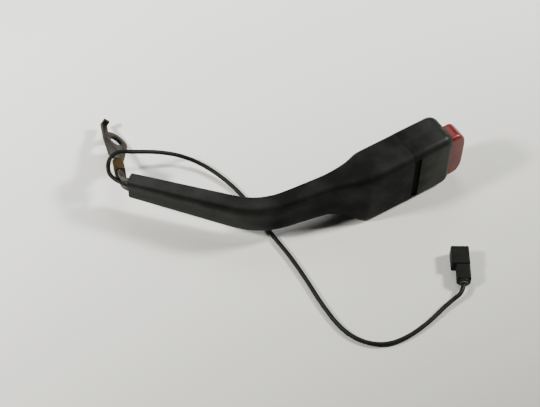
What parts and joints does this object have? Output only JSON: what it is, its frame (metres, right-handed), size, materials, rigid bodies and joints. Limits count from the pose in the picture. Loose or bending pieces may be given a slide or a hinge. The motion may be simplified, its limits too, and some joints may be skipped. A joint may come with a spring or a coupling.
{
  "type": "seat belt buckle",
  "caption": "Push-button seat belt buckle with a tongue slot, on a curved moulded stalk over wire rope, with an anchor plate, a sensor lead and a plug.",
  "frame": {"origin": "middle of the tongue slot's mouth, in the end face of the covers", "axes": "+X out of the slot's mouth, +Y towards the back cover, +Z across the buckle; it lies on its side edge at z = -30 mm"},
  "size_m": [0.2631, 0.3121, 0.06],
  "materials": {
    "casing_plastic": "fine grained moulded black",
    "button_plastic": "smooth moulded red",
    "sleeve_plastic": "smooth moulded black",
    "frame_steel": "zinc plated",
    "zinc_yellow": "yellow passivated zinc",
    "rope_steel": "galvanised wire rope",
    "slide_plastic": "natural acetal",
    "magnet": "nickel plated",
    "spring_steel": "bright spring wire",
    "lead_sheath": "smooth black sheath",
    "connector_nylon": "moulded black nylon",
    "terminal_tin": "tinned brass",
    "seal_rubber": "soft dark seal"
  },
  "bodies": {
    "buckle": {"cover_front": "casing_plastic", "cover_back": "casing_plastic", "button_springs": "spring_steel", "latch_frame": "frame_steel", "ejector_spring": "spring_steel", "rope_rivet": "frame_steel", "rope_washer": "frame_steel", "sensor_housing": "connector_nylon", "wire_rope": "rope_steel", "lead_inner": "lead_sheath", "stalk_sleeve": "sleeve_plastic", "rope_ferrule": "zinc_yellow", "anchor_plate": "zinc_yellow", "connector_housing": "connector_nylon", "connector_terminals": "terminal_tin", "connector_seal": "seal_rubber", "lead": "lead_sheath"},
    "button": {"push_button": "button_plastic", "lock_bar": "frame_steel"},
    "latch": {"latch_plate": "frame_steel"},
    "ejector_slide": {"ejector": "slide_plastic", "ejector_magnet": "magnet"}
  },
  "joints": [
    {"name": "button_press", "type": "slide", "parent": "buckle", "child": "button", "axis": [-1, 0, 0], "range_m": [0, 0.007], "stiffness_N_per_m": 900, "springref_m": -0.004, "deforming": ["button_springs"]},
    {"name": "ejector_travel", "type": "slide", "parent": "buckle", "child": "ejector_slide", "axis": [-1, 0, 0], "range_m": [0, 0.014], "stiffness_N_per_m": 300, "springref_m": -0.006, "deforming": ["ejector_spring"]},
    {"name": "latch_pivot", "type": "hinge", "parent": "buckle", "child": "latch", "pos_m": [-0.05, -0.006, 0], "axis": [0, 0, 1], "range_deg": [0, 11]}
  ],
  "couplings": [
    {"joint": "latch_pivot", "follows": "ejector_travel", "rad_per_m": 13.589}
  ]
}
